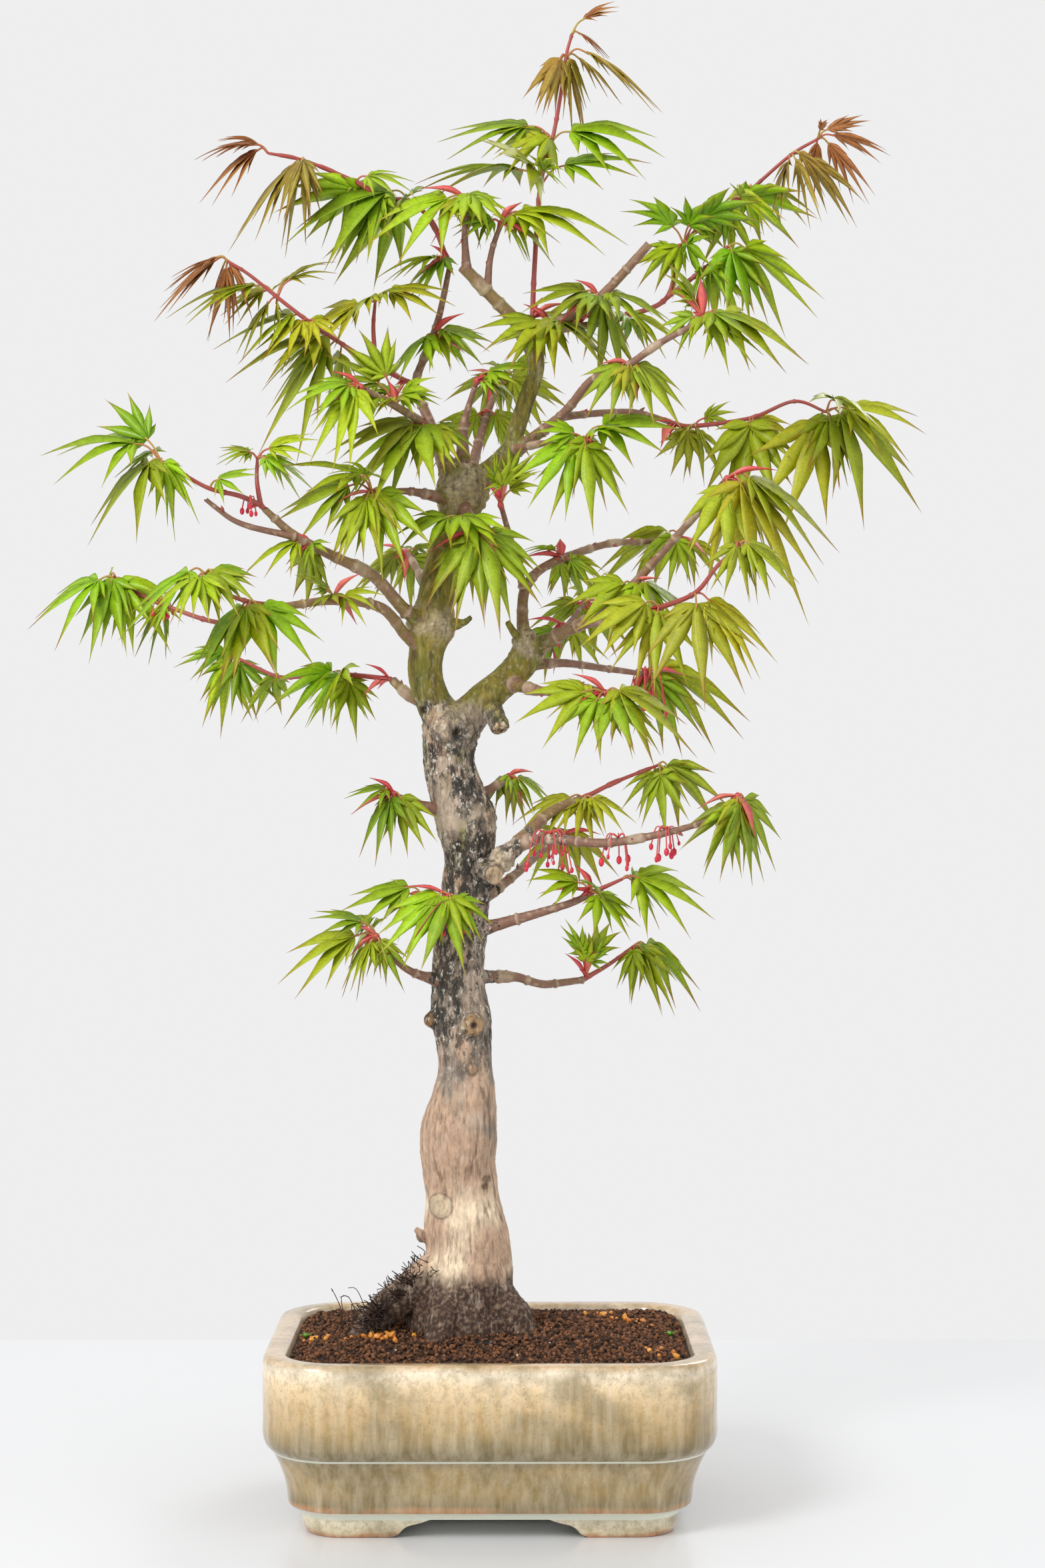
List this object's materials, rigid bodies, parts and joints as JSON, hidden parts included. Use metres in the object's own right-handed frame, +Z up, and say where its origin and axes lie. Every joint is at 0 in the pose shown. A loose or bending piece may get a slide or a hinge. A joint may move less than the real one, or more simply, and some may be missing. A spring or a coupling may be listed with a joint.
{
  "type": "bonsai tree in a pot",
  "caption": "Small maple tree with lobed leaves, grown in soil in a rounded rectangular glazed pot on cloud feet.",
  "frame": {"origin": "on the surface that the pot's feet stand on, under the middle of the pot", "axes": "+Z up along the trunk, +X along the pot's length to the right of the tree's front, and -Y towards the front"},
  "size_m": [0.435, 0.24, 0.7551],
  "materials": {
    "glaze": "gloss",
    "screen": "matte",
    "soil": "matte",
    "pebble": "gloss",
    "bark": "matte",
    "leaf": "satin"
  },
  "bodies": {
    "root": {"pot": "glaze", "drain_screen_left": "screen", "drain_screen_right": "screen", "soil": "soil", "pebble_left": "pebble", "pebble_front": "pebble", "wood": "bark", "far_right_middle_shoot": "leaf", "far_right_shoot": "leaf", "leader_shoot": "leaf", "left_lower_shoot": "leaf", "left_middle_shoot": "leaf", "left_upper_shoot": "leaf", "low_right_back_shoot": "leaf", "low_right_front_shoot": "leaf", "low_right_upper_shoot": "leaf", "right_low_shoot": "leaf", "second_left_shoot": "leaf", "spray_centre": "leaf", "spray_crown_front": "leaf", "spray_crown_inner": "leaf", "spray_crown_outer": "leaf", "spray_crown_right": "leaf", "spray_front_high": "leaf", "spray_front_low": "leaf", "spray_inner_right": "leaf", "spray_inner_upright": "leaf", "spray_left_back": "leaf", "spray_left_end": "leaf", "spray_left_fan": "leaf", "spray_left_front": "leaf", "spray_left_middle": "leaf", "spray_left_star": "leaf", "spray_left_upper": "leaf", "spray_low_back": "leaf", "spray_low_front": "leaf", "spray_low_left": "leaf", "spray_low_left_front": "leaf", "spray_low_right_end": "leaf", "spray_middle_left": "leaf", "spray_middle_right": "leaf", "spray_right_back": "leaf", "spray_right_back_inner": "leaf", "spray_right_front": "leaf", "spray_right_low": "leaf", "spray_right_main": "leaf", "spray_right_main_end": "leaf", "spray_right_side": "leaf", "spray_right_thin": "leaf", "spray_right_upper_end": "leaf", "spray_stub": "leaf", "spray_top_back": "leaf", "spray_top_back_inner": "leaf", "spray_top_right_end": "leaf", "spray_upright": "leaf", "upper_left_shoot": "leaf"}
  },
  "joints": []
}
